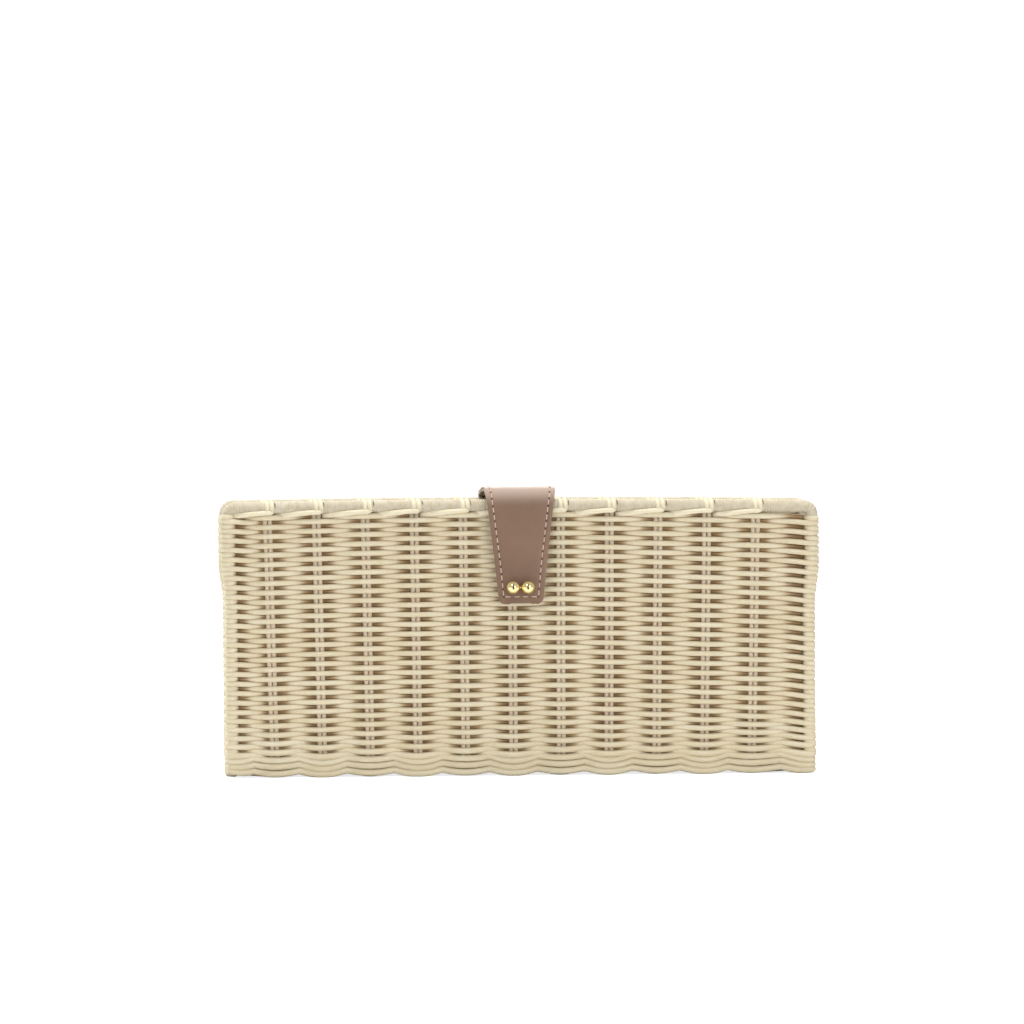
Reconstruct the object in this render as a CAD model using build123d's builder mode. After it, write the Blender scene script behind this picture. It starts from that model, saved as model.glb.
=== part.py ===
from build123d import *
import os

# Basket box bag: a stiff woven clutch with a leather closing strap.
# Millimetres, +Z up.  The origin is on the floor under the middle of the base,
# the front panel faces -Y and the strap closes over the mouth from the back.

# Body
body_width = 290.0  # over the corner posts of one long panel
body_depth = 60.0  # over the front and back panels
body_height = 136.0  # floor to the top of the rim hoops
side_drop = 28.0  # from the hoops' top down to the short side panels' top
wall = 6.0  # thickness of a woven wall: two weavers and a stake
base_thickness = 6.0

# Rods
stake_diameter = 1.75
stake_pitch = 24.0  # between neighbouring pairs of cross stakes
stake_shift = -4.0  # the pattern sits a little to the left
side_stake_pitch = 18.0
side_stake_count = 2  # pairs that run lengthwise and climb the short sides
stake_bend = 4.0
post_diameter = 1.8
hoop_diameter = 3.2
band_diameter = 6.4  # hoop with its cane binding
hoop_inner_bend = 0.6  # inside the bound corner of a hoop
wrap_diameter = 7.4  # weavers wrapped round a hoop leg
leg_offset = 1.5  # a hoop leg stands further out than the corner post below it
leg_overlap = 4.0  # how far a hoop leg goes down past the side panel's top

# Leather strap
leather = 1.2  # one layer; the strap is two, sewn back to back
crest_rise = 6.0  # strap's crest above the hoops
strap_drop = 57.0  # crest to tip
strap_bend = 8.0
tip_corner = 2.5
tip_width = 21.6
knee_width = 28.4
knee_drop = 23.0  # below the crest, where the taper eases
crest_width = 34.8
back_width = 35.6
fold_drop = 9.0  # below the hoops' top, the line about which the strap swings open
tail_length = 35.0
tail_corner = 4.0

# Fastenings
ball_diameter = 6.5
ball_gap = 0.8
ball_rise = 8.0  # above the strap's tip
collar_diameter = 3.6
collar_height = 0.6
bridge_diameter = 1.8
magnet_diameter = 14.0
magnet_thickness = 1.2
prong_diameter = 2.0
rivet_spacing = 24.0
rivet_drop = 23.0  # below the fold
rivet_head = 7.0
rivet_head_thickness = 1.2
rivet_shank = 3.0
washer_thickness = 0.8

# Clearances
rod_clearance = 0.1  # a rod in the weave that grips it
soft_gap = 0.3  # between the strap and what it passes
magnet_gap = 0.3  # between the closed magnets
hole_clearance = 0.1

# Places that follow from the sizes
half_depth = body_depth / 2
panel_y = half_depth - wall / 2
post_x = body_width / 2 - wall / 2
leg_x = post_x + leg_offset
side_height = body_height - side_drop
hoop_bend = band_diameter / 2 + hoop_inner_bend
hoop_z = body_height - band_diameter / 2
weave_top = hoop_z - hoop_bend
leg_bottom = side_height - leg_overlap
inner_depth = body_depth - 2 * wall
inner_width = body_width - 2 * wall
rim_z = side_height - wall / 2
side_top = side_height - wall
cross_stake_z = base_thickness / 2 - (stake_diameter + rod_clearance) / 2
length_stake_z = base_thickness / 2 + (stake_diameter + rod_clearance) / 2
pair_width = 2 * stake_diameter + rod_clearance
strap_thickness = 2 * leather
strap_crest = body_height + crest_rise
strap_tip = strap_crest - strap_drop
knee_height = strap_crest - knee_drop
ball_height = strap_tip + ball_rise
fold_height = body_height - fold_drop
rivet_height = fold_height - rivet_drop
strap_back_y = max(half_depth, panel_y + band_diameter / 2) + soft_gap
strap_front_y = -half_depth - 2 * magnet_thickness - magnet_gap
strap_outer_y = strap_back_y + strap_thickness
strap_face_y = strap_front_y - strap_thickness
ball_x = (ball_diameter + ball_gap) / 2
stem_radius = prong_diameter / 2 + hole_clearance
shank_radius = rivet_shank / 2 + hole_clearance
rivet_xs = (-rivet_spacing / 2, rivet_spacing / 2)
stake_count = int(inner_width // stake_pitch)  # pairs that climb front and back
cross_stake_xs = [
    stake_shift + (i - (stake_count - 1) / 2) * stake_pitch for i in range(stake_count)
]
side_stake_ys = [
    (i - (side_stake_count - 1) / 2) * side_stake_pitch for i in range(side_stake_count)
]

os.makedirs("parts", exist_ok=True)


def finish(part, label):
    """Name a finished piece and write it to its own file."""
    part.label = label
    export_step(part, f"parts/{label}.step")


def stake_band(half_span, low, top, width):
    """Outline the upright U that a stake follows, `width` wide."""
    outer = half_span + width / 2
    inner = half_span - width / 2
    with BuildLine() as outline:
        left = Line((-outer, top), (-inner, top))
        FilletPolyline(
            left @ 1,
            (-inner, low + width / 2),
            (inner, low + width / 2),
            (inner, top),
            radius=stake_bend - width / 2,
        )
        Line((inner, top), (outer, top))
        FilletPolyline(
            (outer, top),
            (outer, low - width / 2),
            (-outer, low - width / 2),
            left @ 0,
            radius=stake_bend + width / 2,
        )
    return make_face(outline.edges(), mode=Mode.PRIVATE)


def channels(half_span, low, top, planes):
    """Build the slots that hold a row of stake pairs, one on each plane."""
    with BuildPart() as slots:
        for plane in planes:
            with BuildSketch(plane):
                add(stake_band(half_span, low, top, stake_diameter + 2 * rod_clearance))
            extrude(amount=pair_width / 2 + rod_clearance, both=True)
    return slots.part


def rod_pair(half_span, low, top, planes):
    """Build a pair of stakes that bend up as a U on two neighbouring planes."""
    with BuildPart() as pair:
        for plane in planes:
            with BuildLine(plane) as route:
                FilletPolyline(
                    (-half_span, top),
                    (-half_span, low),
                    (half_span, low),
                    (half_span, top),
                    radius=stake_bend,
                )
            with BuildSketch(Plane(route.line @ 0, z_dir=route.line % 0)):
                Circle(stake_diameter / 2)
            sweep(path=route.line)
    return pair.part


def long_panel(y):
    """Build a front or back panel: weave round its posts, then round the hoop's legs."""
    with BuildPart() as panel:
        with BuildSketch():
            with Locations((0, y)):
                SlotOverall(body_width, wall)
        extrude(amount=side_height)
        with BuildSketch(Plane.XY.offset(side_height)):
            with Locations((0, y)):
                Rectangle(2 * leg_x, wall)
            with Locations((-leg_x, y), (leg_x, y)):
                Circle(wrap_diameter / 2)
        extrude(amount=weave_top - side_height)
        with BuildSketch():
            with Locations((-post_x, y), (post_x, y)):
                Circle(post_diameter / 2 + rod_clearance)
        extrude(amount=leg_bottom, mode=Mode.SUBTRACT)
        with BuildSketch(Plane.XY.offset(leg_bottom)):
            with Locations((-leg_x, y), (leg_x, y)):
                Circle(hoop_diameter / 2 + rod_clearance)
        extrude(amount=weave_top - leg_bottom, mode=Mode.SUBTRACT)
        add(cross_channels, mode=Mode.SUBTRACT)
    return panel


def drill(part, xs, y, z, radius):
    """Drill a row of holes along Y through a wall or a leather layer."""
    with part:
        with BuildSketch(Plane.XZ.offset(-y)) as holes:
            with Locations([(x, z) for x in xs]):
                Circle(radius)
        extrude(holes.sketch, amount=wall, both=True, mode=Mode.SUBTRACT)


# Woven panels
cross_channels = channels(
    panel_y, cross_stake_z, weave_top, [Plane.YZ.offset(x) for x in cross_stake_xs]
)
length_channels = channels(
    post_x, length_stake_z, side_top, [Plane.XZ.offset(-y) for y in side_stake_ys]
)

with BuildPart() as base_weave:
    with BuildSketch():
        Rectangle(inner_width, inner_depth)
    extrude(amount=base_thickness)
    add(cross_channels, mode=Mode.SUBTRACT)
    add(length_channels, mode=Mode.SUBTRACT)
finish(base_weave.part, "base_weave")

front_weave = long_panel(-panel_y)
drill(front_weave, [0], -panel_y, ball_height, stem_radius)
finish(front_weave.part, "front_weave")

back_weave = long_panel(panel_y)
drill(back_weave, rivet_xs, panel_y, rivet_height, shank_radius)
finish(back_weave.part, "back_weave")

for side, x in (("left", -post_x), ("right", post_x)):
    with BuildPart() as side_weave:
        with BuildSketch():
            with Locations((x, 0)):
                Rectangle(wall, inner_depth)
        extrude(amount=side_top)
        add(length_channels, mode=Mode.SUBTRACT)
    finish(side_weave.part, f"{side}_side_weave")

# Stakes
rod_offset = (pair_width - stake_diameter) / 2
for number, x in enumerate(cross_stake_xs, start=1):
    planes = [Plane.YZ.offset(x - rod_offset), Plane.YZ.offset(x + rod_offset)]
    pair = rod_pair(panel_y, cross_stake_z, weave_top, planes)
    finish(pair, f"cross_stakes_{number:02d}")

for number, y in enumerate(side_stake_ys, start=1):
    planes = [Plane.XZ.offset(-y - rod_offset), Plane.XZ.offset(-y + rod_offset)]
    pair = rod_pair(post_x, length_stake_z, side_top, planes)
    finish(pair, f"length_stakes_{number:02d}")

# Corner posts
for end, y in (("front", -panel_y), ("back", panel_y)):
    for side, x in (("left", -post_x), ("right", post_x)):
        with BuildPart() as post:
            with BuildSketch():
                with Locations((x, y)):
                    Circle(post_diameter / 2)
            extrude(amount=leg_bottom - rod_clearance)
        finish(post.part, f"{end}_{side}_post")

# Rim hoops, their cane bindings and the rims of the short sides
for end, y in (("front", -panel_y), ("back", panel_y)):
    with BuildPart() as hoop:
        with BuildLine(Plane.XZ.offset(-y)) as hoop_route:
            FilletPolyline(
                (-leg_x, leg_bottom),
                (-leg_x, hoop_z),
                (leg_x, hoop_z),
                (leg_x, leg_bottom),
                radius=hoop_bend,
            )
        with BuildSketch(Plane(hoop_route.line @ 0, z_dir=hoop_route.line % 0)):
            Circle(hoop_diameter / 2)
        sweep(path=hoop_route.line)
    finish(hoop.part, f"{end}_hoop")

    with BuildPart() as binding:
        with BuildLine(Plane.XZ.offset(-y)) as band_route:
            FilletPolyline(
                (-leg_x, weave_top),
                (-leg_x, hoop_z),
                (leg_x, hoop_z),
                (leg_x, weave_top),
                radius=hoop_bend - rod_clearance,
            )
        with BuildSketch(Plane(band_route.line @ 0, z_dir=band_route.line % 0)):
            Circle(band_diameter / 2)
            Circle(hoop_diameter / 2 + rod_clearance, mode=Mode.SUBTRACT)
        sweep(path=band_route.line)
    finish(binding.part, f"{end}_hoop_binding")

for side, x in (("left", -post_x), ("right", post_x)):
    with BuildPart() as rim:
        with BuildSketch(Plane.XZ.offset(-inner_depth / 2)):
            with Locations((x, rim_z)):
                Circle(wall / 2)
        extrude(amount=inner_depth)
    finish(rim.part, f"{side}_side_rim")


def strap_band(depth_out, depth_in, low_back, low_front):
    """Outline a layer of the strap from its depths below the outer face."""
    with BuildLine() as outline:
        faces = [
            FilletPolyline(
                (strap_outer_y - depth, low_back),
                (strap_outer_y - depth, strap_crest - depth),
                (strap_face_y + depth, strap_crest - depth),
                (strap_face_y + depth, low_front),
                radius=strap_bend - depth,
            )
            for depth in (depth_out, depth_in)
        ]
        Line(faces[0] @ 0, faces[1] @ 0)
        Line(faces[0] @ 1, faces[1] @ 1)
    return make_face(outline.edges(), mode=Mode.PRIVATE)


def front_taper():
    """Outline the hanging front of the strap as it is seen from the front."""
    half = [width / 2 for width in (crest_width, knee_width, tip_width)]
    with BuildSketch() as taper:
        with BuildLine():
            Polyline(
                (-half[0], strap_crest),
                (-half[1], knee_height),
                (-half[2], strap_tip),
                (half[2], strap_tip),
                (half[1], knee_height),
                (half[0], strap_crest),
                close=True,
            )
        make_face()
        fillet(taper.vertices().group_by(Axis.Y)[0], tip_corner)
    return taper.sketch


def strap_layer(depth_out, depth_in):
    """Build one layer of the moving strap, tapered in plan and in front view."""
    bend_y = strap_face_y + strap_bend
    with BuildPart() as layer:
        with BuildSketch(Plane.YZ):
            add(strap_band(depth_out, depth_in, fold_height + soft_gap / 2, strap_tip))
        extrude(amount=back_width / 2, both=True)
        with BuildSketch(Plane.XY.offset(strap_tip)):
            with BuildLine():
                Polyline(
                    (-crest_width / 2, bend_y),
                    (-back_width / 2, strap_outer_y),
                    (back_width / 2, strap_outer_y),
                    (crest_width / 2, bend_y),
                    (crest_width / 2, -body_depth),
                    (-crest_width / 2, -body_depth),
                    close=True,
                )
            make_face()
        extrude(amount=strap_crest - strap_tip, mode=Mode.INTERSECT)
        with BuildSketch(Plane.XZ.offset(-bend_y)):
            with Locations((0, (strap_crest + strap_tip) / 2)):
                Rectangle(back_width, strap_crest - strap_tip)
            add(front_taper(), mode=Mode.SUBTRACT)
        extrude(amount=body_depth, mode=Mode.SUBTRACT)
    return layer


def tail_layer(y_in, y_out):
    """Build one layer of the strap's fixed tail on the back panel."""
    with BuildPart() as layer:
        with BuildSketch(Plane.XZ.offset(-y_in)):
            top = fold_height - soft_gap / 2
            with Locations((0, top - tail_length / 2)):
                tail = Rectangle(back_width, tail_length)
            fillet(tail.vertices().group_by(Axis.Z)[0], tail_corner)
        extrude(amount=-(y_out - y_in))
    return layer


# Leather strap: the moving flap, then its tail fixed to the back panel
strap_outer = strap_layer(0, leather)
drill(strap_outer, (-ball_x, ball_x), strap_face_y, ball_height, stem_radius)
finish(strap_outer.part, "strap_outer_leather")

strap_lining = strap_layer(leather, strap_thickness)
finish(strap_lining.part, "strap_lining_leather")

tail_outer = tail_layer(strap_back_y + leather, strap_outer_y)
tail_lining = tail_layer(strap_back_y, strap_back_y + leather)
inner_patch = tail_layer(half_depth - wall - leather, half_depth - wall)
for layer, y, label in (
    (tail_outer, strap_outer_y, "tail_outer_leather"),
    (tail_lining, strap_outer_y, "tail_lining_leather"),
    (inner_patch, half_depth - wall, "inner_patch"),
):
    drill(layer, rivet_xs, y, rivet_height, shank_radius)
    finish(layer.part, label)

# Rivets through the tail, the back panel and the patch inside it
rivet_in_y = half_depth - wall - leather
for side, x in (("left", rivet_xs[0]), ("right", rivet_xs[1])):
    with BuildPart() as rivet:
        with BuildSketch(Plane.XZ.offset(-strap_outer_y)):
            with Locations((x, rivet_height)):
                Circle(rivet_head / 2)
        extrude(amount=-rivet_head_thickness)
        fillet(rivet.edges().group_by(Axis.Y)[-1], rivet_head_thickness / 2)
        with BuildSketch(Plane.XZ.offset(-rivet_in_y)):
            with Locations((x, rivet_height)):
                Circle(rivet_shank / 2)
        extrude(amount=-(strap_outer_y - rivet_in_y))
        with BuildSketch(Plane.XZ.offset(-rivet_in_y)):
            with Locations((x, rivet_height)):
                Circle(rivet_head / 2)
        extrude(amount=washer_thickness)
    finish(rivet.part, f"{side}_rivet")

# Ball studs: a ball on a collar, with a stem clenched behind the outer leather
for side, x in (("left", -ball_x), ("right", ball_x)):
    with BuildPart() as stud:
        with Locations((x, strap_face_y - collar_height - ball_diameter / 2, ball_height)):
            Sphere(ball_diameter / 2)
        with BuildSketch(Plane.XZ.offset(-strap_face_y)):
            with Locations((x, ball_height)):
                Circle(collar_diameter / 2)
        extrude(amount=collar_height + ball_diameter / 4)
        with BuildSketch(Plane.XZ.offset(-strap_face_y - leather)):
            with Locations((x, ball_height)):
                Circle(prong_diameter / 2)
        extrude(amount=leather + collar_height)
    finish(stud.part, f"{side}_ball_stud")

with BuildPart() as bridge:
    with BuildSketch(Plane.YZ.offset(-ball_x + collar_diameter / 2)):
        with Locations((strap_face_y - bridge_diameter / 2, ball_height)):
            Circle(bridge_diameter / 2)
    extrude(amount=2 * ball_x - collar_diameter)
    ball_y = strap_face_y - collar_height - ball_diameter / 2
    with Locations((-ball_x, ball_y, ball_height), (ball_x, ball_y, ball_height)):
        Sphere(ball_diameter / 2 + hole_clearance, mode=Mode.SUBTRACT)
finish(bridge.part, "ball_bridge")

# Magnetic snap: a disc on the strap's lining and one riveted to the front panel
with BuildPart() as strap_magnet:
    with BuildSketch(Plane.XZ.offset(-strap_front_y)):
        with Locations((0, ball_height)):
            Circle(magnet_diameter / 2)
    extrude(amount=-magnet_thickness)
finish(strap_magnet.part, "strap_magnet")

with BuildPart() as panel_magnet:
    with BuildSketch(Plane.XZ.offset(half_depth)):
        with Locations((0, ball_height)):
            Circle(magnet_diameter / 2)
    extrude(amount=magnet_thickness)
    with BuildSketch(Plane.XZ.offset(half_depth)):
        with Locations((0, ball_height)):
            Circle(prong_diameter / 2)
    extrude(amount=-wall)
    with BuildSketch(Plane.XZ.offset(half_depth - wall)):
        with Locations((0, ball_height)):
            Circle(magnet_diameter / 2)
    extrude(amount=-washer_thickness)
finish(panel_magnet.part, "panel_magnet")
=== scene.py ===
import math
import random

import bpy
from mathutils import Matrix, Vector, noise


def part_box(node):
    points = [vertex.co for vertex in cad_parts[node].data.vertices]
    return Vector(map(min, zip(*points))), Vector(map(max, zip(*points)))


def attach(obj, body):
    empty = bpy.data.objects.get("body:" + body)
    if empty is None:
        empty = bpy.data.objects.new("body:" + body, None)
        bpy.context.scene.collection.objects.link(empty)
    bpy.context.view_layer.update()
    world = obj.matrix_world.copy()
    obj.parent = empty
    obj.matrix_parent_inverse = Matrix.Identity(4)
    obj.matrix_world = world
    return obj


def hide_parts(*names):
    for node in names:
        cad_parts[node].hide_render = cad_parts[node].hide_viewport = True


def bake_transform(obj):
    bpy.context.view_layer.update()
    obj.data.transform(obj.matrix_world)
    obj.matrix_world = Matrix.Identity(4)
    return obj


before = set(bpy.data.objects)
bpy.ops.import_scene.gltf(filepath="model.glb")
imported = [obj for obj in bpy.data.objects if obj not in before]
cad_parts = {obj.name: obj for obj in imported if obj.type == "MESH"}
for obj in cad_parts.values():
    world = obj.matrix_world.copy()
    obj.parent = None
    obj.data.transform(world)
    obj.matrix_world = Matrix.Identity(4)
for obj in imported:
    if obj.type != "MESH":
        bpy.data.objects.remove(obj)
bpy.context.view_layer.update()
bpy.ops.object.select_all(action="DESELECT")
random.seed(12)
mm = 0.001
print("frame loaded")


def middle(node):
    low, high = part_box(node)
    return (low + high) / 2


def size(node):
    low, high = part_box(node)
    return high - low


# main places of the bag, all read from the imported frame
panelY = -middle("front_weave").y
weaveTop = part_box("front_weave")[1].z
postX = middle("front_right_post").x
postRadius = size("front_right_post").x / 2
legRadius = size("front_hoop").y / 2
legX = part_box("front_hoop")[1].x - legRadius
bandRadius = size("front_hoop_binding").y / 2
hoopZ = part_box("front_hoop_binding")[1].z - bandRadius
hoopBend = hoopZ - weaveTop
rimRadius = size("left_side_rim").z / 2
rimZ = middle("left_side_rim").z
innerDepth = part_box("base_weave")[1].y
baseMiddle = middle("base_weave").z
stakeXs = [middle(f"cross_stakes_{n:02d}").x for n in range(1, 12)]
sideStakeYs = [middle(f"length_stakes_{n:02d}").y for n in (1, 2)]

weave = {
    "rowThickness": 2.82 * mm,
    "rows": 52,
    "lowRow": 10.3 * mm,
    "topRow": 0.85 * mm,  # below the top of the woven panel
    "squeeze": 0.03,  # rows sit closer together near the floor and the rim
    "stakeThickness": 2.3 * mm,
    "pairSpacing": 2.36 * mm,
    "reach": 2.1 * mm,  # how far a row swings out in front of a stake
    "stiffness": 1.7,
    "lateCrossing": 1.35,  # next to a post a weaver stays behind it for longer
    "stepsPerGap": 10,
    "waviness": 0.45 * mm,  # slow wander of the rows up and down
    "jitter": 0.16 * mm,  # how much single rows stray
    "arch": 1.7 * mm,  # the rows ride up in the middle of a long wall
    "tilt": 1.0 * mm,
    "archSpan": 120 * mm,
    "archStart": 10 * mm,  # arch and tilt come in above this height
    "archCalm": 105 * mm,  # and lose half above this one
    "archBand": 25 * mm,
    "fan": 0.976,  # the stakes stand this much closer together at the floor
    "bow": 2.5 * mm,  # how far the lowest rows sag under each stake
    "bowFade": 14 * mm,
    "dive": 0.8 * mm,  # rows slope down to the right where they turn round a post
    "diveBand": 7 * mm,
    "stout": 0.22,  # the lowest rows are this much thicker
    "stoutFade": 5 * mm,
    "pressed": 0.1,  # and every row this much against a post
    "pressedInset": 4 * mm,
    "pressedBand": 3 * mm,
    "recessDepth": 1.25 * mm,  # surfaces deeper in a wall than this get painted brown shade
    "recessBand": 1.3 * mm,
    "recessFacing": 0.35,
}
twining = {
    "rows": 3,
    "low": 1.85 * mm,
    "pitch": 3.1 * mm,
    "thickness": 3.3 * mm,
    "rise": 0.8 * mm,  # the pairing lies higher and lower at alternate stakes
    "drop": 0.85 * mm,
    "ease": 0.4,  # rise and drop are smallest in the lowest round
    "crossing": 3.5 * mm,  # height where the lowest pair crosses between two stakes
    "tuck": 0.3 * mm,
    "floorShare": 1.01,  # least height of a strand's middle, in its own radii
}
wraps = {
    "radius": 3.2 * mm,  # outside of the wrapped corner posts, low down
    "legRadius": 3.75 * mm,  # and round the thicker hoop legs above
    "legStart": 88 * mm,
    "legBlend": 20 * mm,
    "footTuck": 0.7 * mm,  # the lowest turns are drawn in
    "footFade": 2.5 * mm,
    "lift": 2.2 * mm,  # the lowest rows rise towards the posts
    "liftInset": 8 * mm,
    "liftBand": 11 * mm,
    "liftFade": 4.5 * mm,
    "steps": 7,
    "stepRise": 0.12 * mm,
    "ringSteps": 14,
    "ringThickness": 1.1,  # of a row
}
rowRadius = weave["rowThickness"] / 2
stakeRadius = weave["stakeThickness"] / 2
reach = weave["reach"]


def rowHeight(row):
    share = row / (weave["rows"] - 1)
    top = weaveTop - weave["topRow"]
    eased = share - weave["squeeze"] * math.sin(2 * math.pi * share) / (2 * math.pi)
    return weave["lowRow"] + (top - weave["lowRow"]) * eased


# materials

def newMaterial(name):
    material = bpy.data.materials.new(name)
    material.use_nodes = True
    tree = material.node_tree
    vector = tree.nodes.new("ShaderNodeTexCoord").outputs["Object"]
    return material, tree, tree.nodes["Principled BSDF"], vector


def newGroup(name, inputs, outputs):
    group = bpy.data.node_groups.new(name, "ShaderNodeTree")
    for way, sockets in (("INPUT", inputs), ("OUTPUT", outputs)):
        for label, kind in sockets.items():
            group.interface.new_socket(name=label, in_out=way, socket_type=f"NodeSocket{kind}")
    return group, group.nodes.new("NodeGroupInput"), group.nodes.new("NodeGroupOutput")


def noiseNode(tree, vector, scale, detail=3.0, roughness=0.5):
    stretch = tree.nodes.new("ShaderNodeVectorMath")
    stretch.operation = "MULTIPLY"
    stretch.inputs[1].default_value = scale
    tree.links.new(vector, stretch.inputs[0])
    node = tree.nodes.new("ShaderNodeTexNoise")
    for label, value in (("Scale", 1.0), ("Detail", detail), ("Roughness", roughness)):
        node.inputs[label].default_value = value
    tree.links.new(stretch.outputs[0], node.inputs["Vector"])
    return node.outputs["Fac"]


def remap(tree, value, low, high, toLow=0.0, toHigh=1.0):
    node = tree.nodes.new("ShaderNodeMapRange")
    for socket, number in zip(node.inputs[1:5], (low, high, toLow, toHigh)):
        socket.default_value = number
    tree.links.new(value, node.inputs[0])
    return node.outputs[0]


def storedValue(tree, name):
    node = tree.nodes.new("ShaderNodeAttribute")
    node.attribute_name = name
    return node.outputs["Fac"]


def addBump(tree, shader, height, strength, distance=0.1 * mm):
    node = tree.nodes.new("ShaderNodeBump")
    node.inputs["Strength"].default_value = strength
    node.inputs["Distance"].default_value = distance
    tree.links.new(height, node.inputs["Height"])
    tree.links.new(node.outputs["Normal"], shader.inputs["Normal"])


def paint(tree, shader, colour, roughness):
    tree.links.new(colour, shader.inputs["Base Color"])
    if isinstance(roughness, float):
        shader.inputs["Roughness"].default_value = roughness
    else:
        tree.links.new(roughness, shader.inputs["Roughness"])


def mixed(tree, factor, colourA, colourB, blend="MIX"):
    node = tree.nodes.new("ShaderNodeMix")
    node.data_type = "RGBA"
    node.blend_type = blend
    for socket, value in ((node.inputs[0], factor), (node.inputs[6], colourA), (node.inputs[7], colourB)):
        if isinstance(value, (float, int, tuple)):
            socket.default_value = value
        else:
            tree.links.new(value, socket)
    return node.outputs[2]


def makeFibreGroup():
    # peeled rattan: each rod has its own tint, fine fibres and a few brown flecks along it, and painted
    # brown shade where it lies deep in the weave
    group, start, end = newGroup(
        "rattanFibre",
        {"Vector": "Vector", "Pale": "Color", "Deep": "Color", "Fleck": "Color", "RecessShade": "Float"},
        {"Color": "Color", "Height": "Float", "Roughness": "Float"},
    )
    vector = start.outputs["Vector"]
    tint = noiseNode(group, vector, (9, 330, 330), 1.0)
    patch = noiseNode(group, vector, (28, 60, 60), 2.0)
    fibre = noiseNode(group, vector, (160, 5200, 5200), 3.0, 0.6)
    fleck = noiseNode(group, vector, (190, 900, 900), 2.0, 0.55)
    pale, deep, brown = (start.outputs[label] for label in ("Pale", "Deep", "Fleck"))
    base = mixed(group, remap(group, tint, 0.3, 0.7), pale, deep)
    base = mixed(group, remap(group, patch, 0.35, 0.75, 0.0, 0.5), base, deep)
    base = mixed(group, remap(group, fibre, 0.35, 0.8, 0.0, 0.32), base, brown)
    base = mixed(group, remap(group, fleck, 0.66, 0.78, 0.0, 0.55), base, brown)
    # painted shade: surfaces marked deep in the weave are multiplied by this brown
    base = mixed(group, start.outputs["RecessShade"], base, (0.60, 0.43, 0.28, 1), "MULTIPLY")
    group.links.new(base, end.inputs["Color"])
    group.links.new(fibre, end.inputs["Height"])
    group.links.new(remap(group, fibre, 0.3, 0.7, 0.42, 0.62), end.inputs["Roughness"])
    return group


def heightMask(tree, vector, low, high):
    split = tree.nodes.new("ShaderNodeSeparateXYZ")
    tree.links.new(vector, split.inputs[0])
    return remap(tree, split.outputs["Z"], low, high)


def makeRattan(name, turn, kind, bump=0.12, recessShaded=False, tips=None):
    material, tree, shader, vector = newMaterial(name)
    mapping = tree.nodes.new("ShaderNodeMapping")
    mapping.inputs["Rotation"].default_value = turn
    tree.links.new(vector, mapping.inputs["Vector"])
    fibre = tree.nodes.new("ShaderNodeGroup")
    fibre.node_tree = fibreGroup
    for label, colour in zip(("Pale", "Deep", "Fleck"), (*rattan[kind], rattan["fleck"])):
        fibre.inputs[label].default_value = (*colour, 1)
    tree.links.new(mapping.outputs["Vector"], fibre.inputs["Vector"])
    if recessShaded:
        # painted shade: where a weaver passes behind a stake it is darkened to brown
        tree.links.new(storedValue(tree, "recessShade"), fibre.inputs["RecessShade"])
    colour = fibre.outputs["Color"]
    if tips:
        # the laid-down ends at the rim are as pale as the rows
        mask = heightMask(tree, vector, weaveTop - 3 * mm, weaveTop)
        colour = mixed(tree, mask, colour, (*tips, 1))
    addBump(tree, shader, fibre.outputs["Height"], bump)
    paint(tree, shader, colour, fibre.outputs["Roughness"])
    shader.inputs["Specular IOR Level"].default_value = 0.35
    return material


alongX = (0, 0, 0)
alongY = (0, 0, math.pi / 2)
alongZ = (0, math.pi / 2, 0)
rattan = {
    # pale and deep tint of each kind of rod
    "row": ((0.635, 0.578, 0.436), (0.575, 0.503, 0.345)),
    "stake": ((0.80, 0.71, 0.55), (0.70, 0.59, 0.44)),
    "cane": ((0.52, 0.485, 0.39), (0.43, 0.38, 0.28)),
    "fleck": (0.50, 0.37, 0.20),
}
fibreGroup = makeFibreGroup()
rowMaterial = makeRattan("rowRattan", alongX, "row", recessShaded=True)
sideRowMaterial = makeRattan("sideRowRattan", alongY, "row", recessShaded=True)
baseMaterial = makeRattan("baseRattan", alongX, "row")
wrapMaterial = makeRattan("wrapRattan", alongY, "row")
stakeMaterial = makeRattan("stakeRattan", alongZ, "stake", tips=(0.655, 0.59, 0.43))
caneMaterial = makeRattan("caneBinding", alongY, "cane", bump=0.3)
rimMaterial = makeRattan("rimBinding", alongX, "cane", bump=0.3)


def makeLeather(name, colour, dark, roughness, grainStrength, foldSheen=None):
    # close-grained calf: soft blotches, fine pebbles and pores
    material, tree, shader, vector = newMaterial(name)
    blotch = noiseNode(tree, vector, (70, 70, 45), 3.0)
    grain = noiseNode(tree, vector, (2600, 2600, 2100), 4.0, 0.6)
    cells = tree.nodes.new("ShaderNodeTexVoronoi")
    cells.inputs["Scale"].default_value = 1900
    tree.links.new(vector, cells.inputs["Vector"])
    base = mixed(tree, remap(tree, blotch, 0.3, 0.75), (*colour, 1), (*dark, 1))
    base = mixed(tree, remap(tree, grain, 0.4, 0.75, 0.0, 0.28), base, (*dark, 1))
    if foldSheen:
        # painted sheen: the leather is paler where it folds over the hoops, in place of the highlight that
        # light gives the bend
        base = mixed(tree, storedValue(tree, "fold"), base, (*foldSheen, 1))
    height = tree.nodes.new("ShaderNodeMath")
    height.operation = "MULTIPLY_ADD"
    height.inputs[1].default_value = 0.6
    tree.links.new(grain, height.inputs[0])
    tree.links.new(cells.outputs["Distance"], height.inputs[2])
    addBump(tree, shader, height.outputs[0], grainStrength, 0.08 * mm)
    paint(tree, shader, base, remap(tree, grain, 0.3, 0.7, roughness - 0.05, roughness + 0.06))
    shader.inputs["Specular IOR Level"].default_value = 0.38
    return material


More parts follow.
